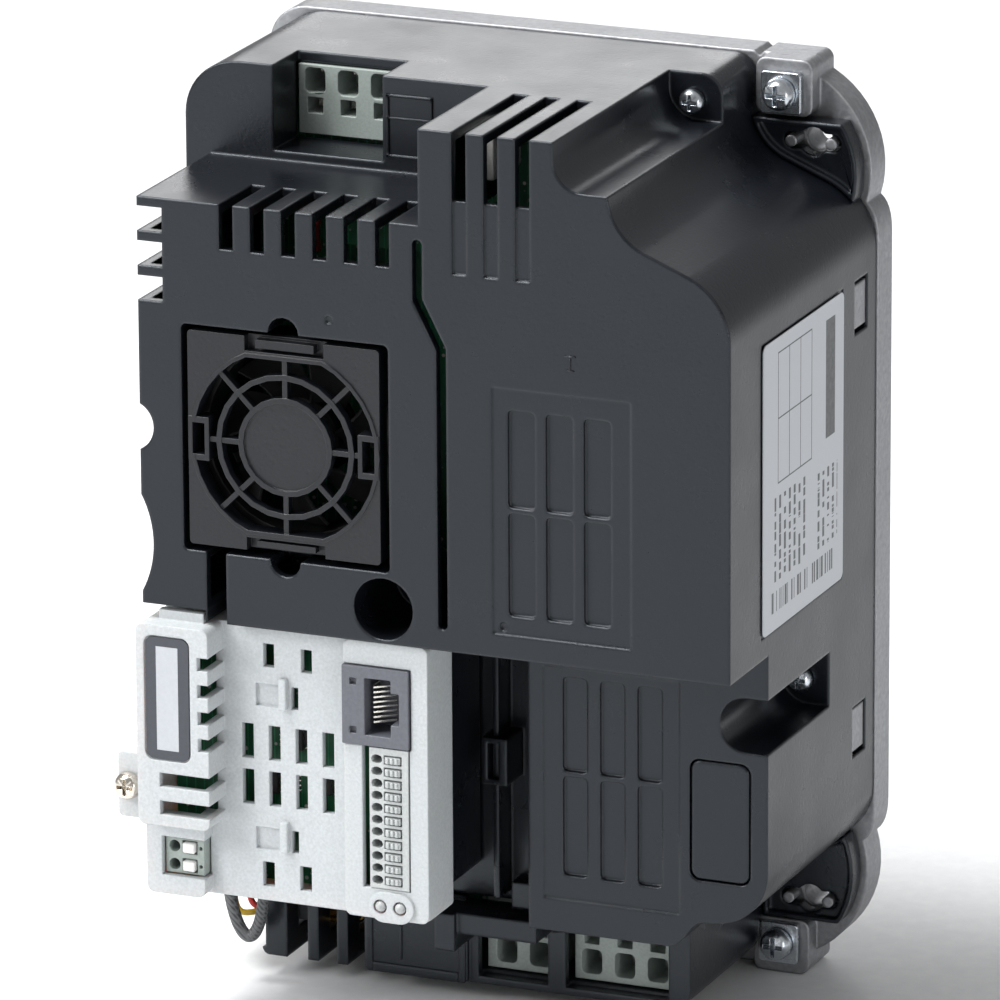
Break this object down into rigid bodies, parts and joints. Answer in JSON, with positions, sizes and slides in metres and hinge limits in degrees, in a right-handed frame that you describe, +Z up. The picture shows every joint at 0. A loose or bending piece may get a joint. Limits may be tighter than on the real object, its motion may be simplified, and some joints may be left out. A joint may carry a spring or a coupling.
{
  "type": "variable frequency drive",
  "caption": "Cold-plate motor drive with a pull-out fan cartridge, a plug-in control module with spring terminals and screw earth points on a cast plate.",
  "frame": {"origin": "centre of the cold plate's flat back face", "axes": "+X to the right seen from the front, +Z up, and the drive's front faces -Y"},
  "size_m": [0.1308, 0.0904, 0.19],
  "materials": {
    "charcoal": "satin moulded",
    "cast": "die cast",
    "zinc": "zinc plated",
    "nickel": "nickel plated",
    "pale": "satin moulded",
    "terminal": "moulded",
    "lever": "moulded",
    "socket": "moulded",
    "gold": "polished",
    "board": "solder mask",
    "paper": "printed film",
    "slate": "sleeved can",
    "copper": "enamelled wire",
    "ferrite": "moulded",
    "sleeve": "braided sleeve",
    "lens": "translucent"
  },
  "bodies": {
    "drive_body": {"cold_plate": "cast", "upper_ear_pad": "charcoal", "lower_ear_pad": "charcoal", "housing": "charcoal", "access_plug": "charcoal", "rating_label": "paper", "base_frame": "charcoal", "mains_terminal_block": "terminal", "brake_terminal_block": "terminal", "motor_terminal_block": "terminal", "power_board": "board", "power_module": "ferrite", "bus_capacitor_1": "slate", "bus_capacitor_2": "slate", "bus_capacitor_3": "slate", "bus_capacitor_4": "slate", "choke_core": "ferrite", "choke_winding": "copper", "choke_lead": "sleeve", "upper_earth_washer": "zinc", "lower_earth_washer": "zinc", "upper_earth_screw": "zinc", "lower_earth_screw": "zinc", "upper_cover_screw": "zinc", "lower_cover_screw": "zinc"},
    "fan_cartridge": {"fan_grille": "charcoal", "fan_frame": "charcoal", "fan_bearing": "gold", "fan_stator": "copper"},
    "fan_rotor": {"fan_rotor": "charcoal", "fan_shaft": "nickel"},
    "control_module": {"module_cover": "pale", "module_tray": "charcoal", "module_board": "board", "module_connector": "slate", "network_socket": "socket", "network_contacts": "gold", "control_terminal_block": "lever", "relay_terminal_block": "terminal", "status_light_1": "lens", "status_light_2": "lens", "module_screw": "nickel"},
    "control_lever_01": {"control_lever_01": "lever"},
    "control_lever_02": {"control_lever_02": "lever"},
    "control_lever_03": {"control_lever_03": "lever"},
    "control_lever_04": {"control_lever_04": "lever"},
    "control_lever_05": {"control_lever_05": "lever"},
    "control_lever_06": {"control_lever_06": "lever"},
    "control_lever_07": {"control_lever_07": "lever"},
    "control_lever_08": {"control_lever_08": "lever"},
    "control_lever_09": {"control_lever_09": "lever"},
    "control_lever_10": {"control_lever_10": "lever"},
    "control_lever_11": {"control_lever_11": "lever"},
    "relay_lever_1": {"relay_lever_1": "lever"},
    "relay_lever_2": {"relay_lever_2": "lever"}
  },
  "joints": [
    {"name": "fan_cartridge_slide", "type": "slide", "parent": "drive_body", "child": "fan_cartridge", "axis": [0, -1, 0], "range_m": [0, 0.035]},
    {"name": "fan_spin", "type": "hinge", "parent": "fan_cartridge", "child": "fan_rotor", "pos_m": [-0.0281, -0.0755, 0.0276], "axis": [0, -1, 0], "continuous": true},
    {"name": "control_module_slide", "type": "slide", "parent": "drive_body", "child": "control_module", "axis": [0, -1, 0], "range_m": [0, 0.04]},
    {"name": "control_lever_01_press", "type": "slide", "parent": "control_module", "child": "control_lever_01", "axis": [0, 1, 0], "range_m": [0, 0.001], "stiffness_N_per_m": 300, "springref_m": -0.0005},
    {"name": "control_lever_02_press", "type": "slide", "parent": "control_module", "child": "control_lever_02", "axis": [0, 1, 0], "range_m": [0, 0.001], "stiffness_N_per_m": 300, "springref_m": -0.0005},
    {"name": "control_lever_03_press", "type": "slide", "parent": "control_module", "child": "control_lever_03", "axis": [0, 1, 0], "range_m": [0, 0.001], "stiffness_N_per_m": 300, "springref_m": -0.0005},
    {"name": "control_lever_04_press", "type": "slide", "parent": "control_module", "child": "control_lever_04", "axis": [0, 1, 0], "range_m": [0, 0.001], "stiffness_N_per_m": 300, "springref_m": -0.0005},
    {"name": "control_lever_05_press", "type": "slide", "parent": "control_module", "child": "control_lever_05", "axis": [0, 1, 0], "range_m": [0, 0.001], "stiffness_N_per_m": 300, "springref_m": -0.0005},
    {"name": "control_lever_06_press", "type": "slide", "parent": "control_module", "child": "control_lever_06", "axis": [0, 1, 0], "range_m": [0, 0.001], "stiffness_N_per_m": 300, "springref_m": -0.0005},
    {"name": "control_lever_07_press", "type": "slide", "parent": "control_module", "child": "control_lever_07", "axis": [0, 1, 0], "range_m": [0, 0.001], "stiffness_N_per_m": 300, "springref_m": -0.0005},
    {"name": "control_lever_08_press", "type": "slide", "parent": "control_module", "child": "control_lever_08", "axis": [0, 1, 0], "range_m": [0, 0.001], "stiffness_N_per_m": 300, "springref_m": -0.0005},
    {"name": "control_lever_09_press", "type": "slide", "parent": "control_module", "child": "control_lever_09", "axis": [0, 1, 0], "range_m": [0, 0.001], "stiffness_N_per_m": 300, "springref_m": -0.0005},
    {"name": "control_lever_10_press", "type": "slide", "parent": "control_module", "child": "control_lever_10", "axis": [0, 1, 0], "range_m": [0, 0.001], "stiffness_N_per_m": 300, "springref_m": -0.0005},
    {"name": "control_lever_11_press", "type": "slide", "parent": "control_module", "child": "control_lever_11", "axis": [0, 1, 0], "range_m": [0, 0.001], "stiffness_N_per_m": 300, "springref_m": -0.0005},
    {"name": "relay_lever_1_press", "type": "slide", "parent": "control_module", "child": "relay_lever_1", "axis": [0, 1, 0], "range_m": [0, 0.001], "stiffness_N_per_m": 300, "springref_m": -0.0005},
    {"name": "relay_lever_2_press", "type": "slide", "parent": "control_module", "child": "relay_lever_2", "axis": [0, 1, 0], "range_m": [0, 0.001], "stiffness_N_per_m": 300, "springref_m": -0.0005}
  ]
}
